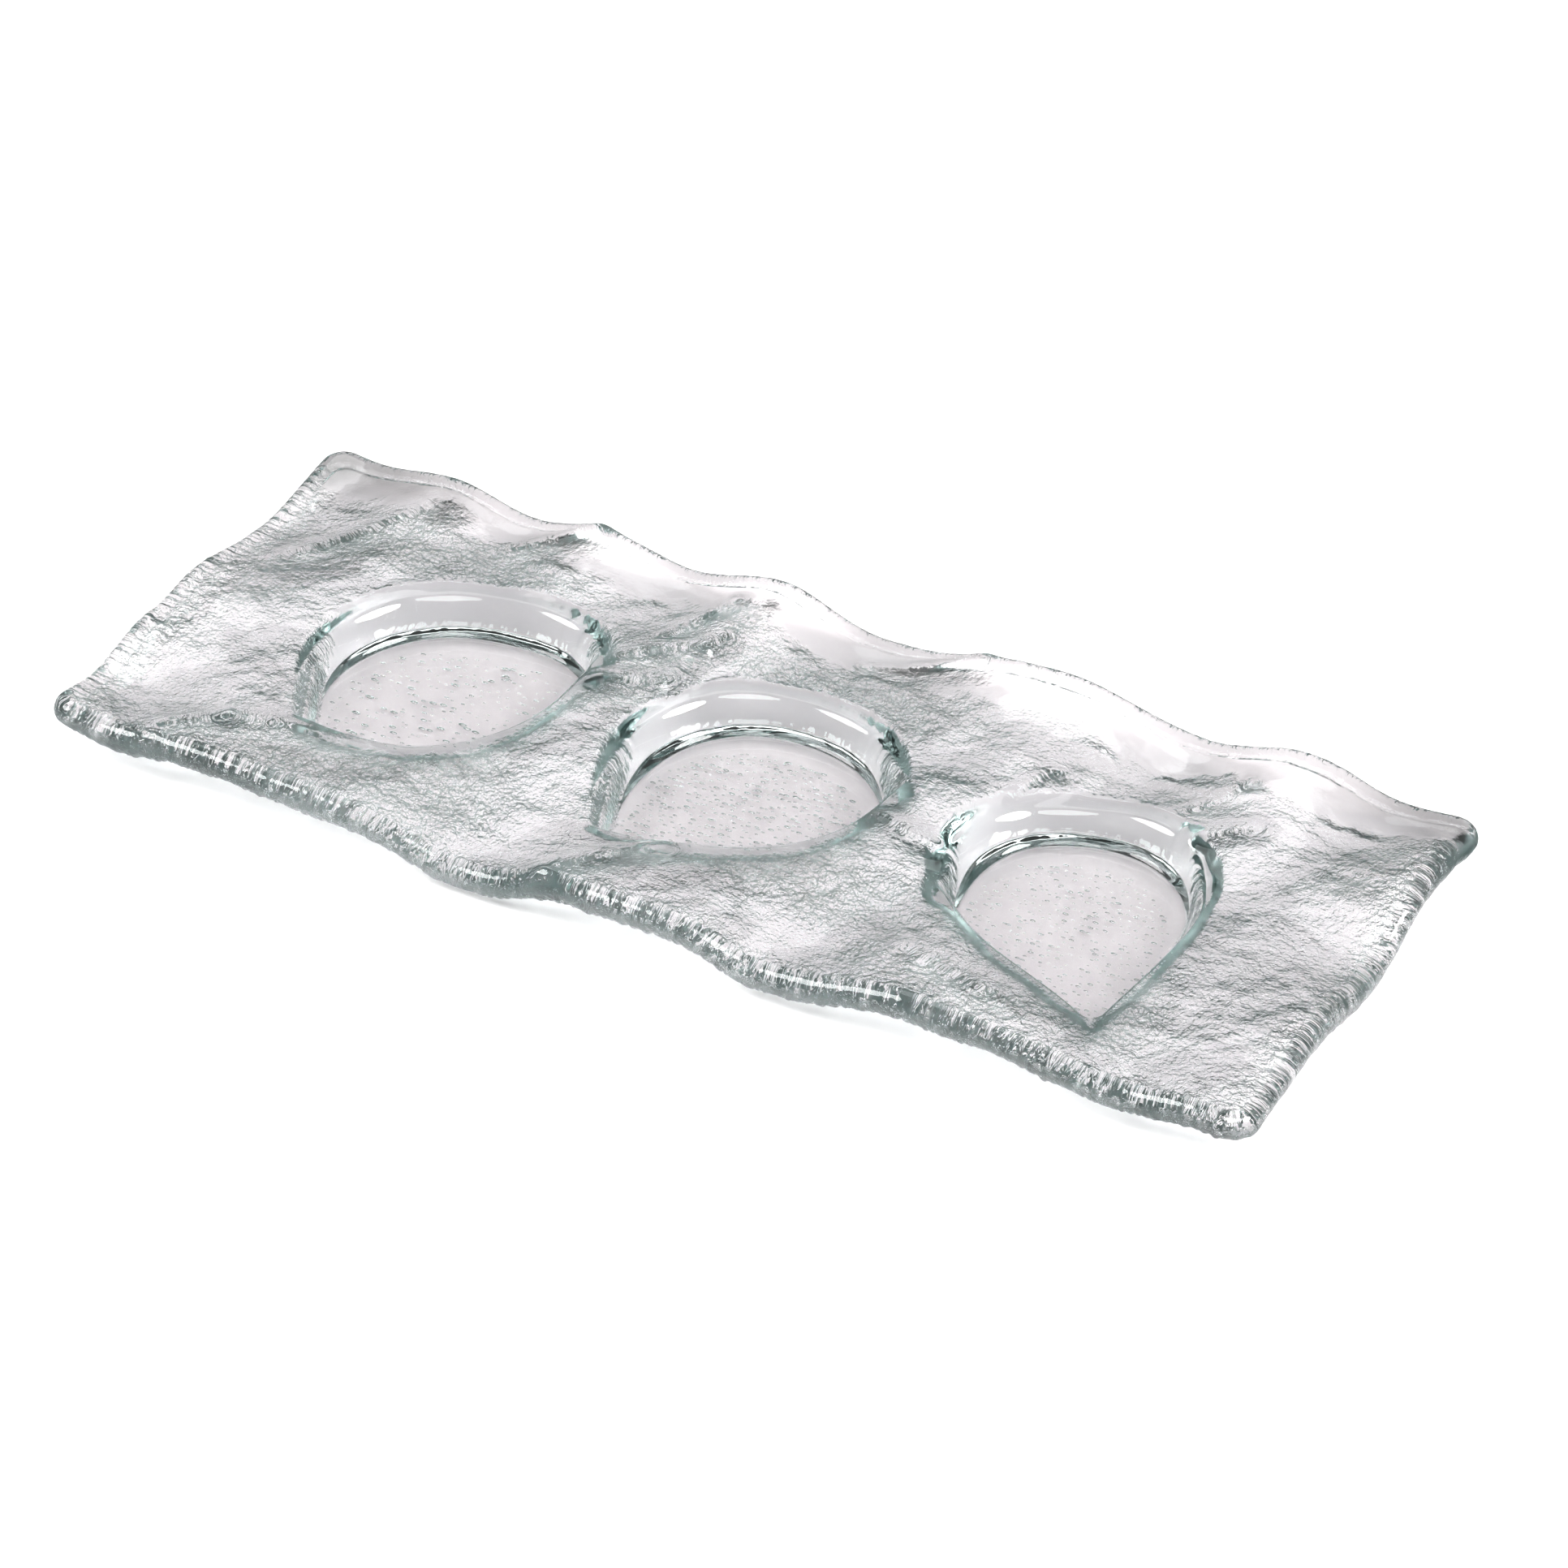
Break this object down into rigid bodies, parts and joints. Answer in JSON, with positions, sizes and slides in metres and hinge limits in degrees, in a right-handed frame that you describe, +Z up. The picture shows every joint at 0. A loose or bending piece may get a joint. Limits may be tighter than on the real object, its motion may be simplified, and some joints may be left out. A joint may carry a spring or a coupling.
{
  "type": "chip and dip server",
  "caption": "Long rippled tray of thick clear slumped glass with a row of pointed wells for dips, a textured underside and flat faces below the wells to stand on.",
  "frame": {"origin": "middle of the tray's footprint, on the plane that the undersides of the wells rest on", "axes": "+X along the tray's long side, +Y across it, +Z up out of the wells"},
  "size_m": [0.406, 0.165, 0.0228],
  "materials": {
    "clear_glass": "clear soda-lime glass with a faint green tint, fire-polished on top, bark-like texture below"
  },
  "bodies": {
    "root": {"glass_tray": "clear_glass"}
  },
  "joints": []
}
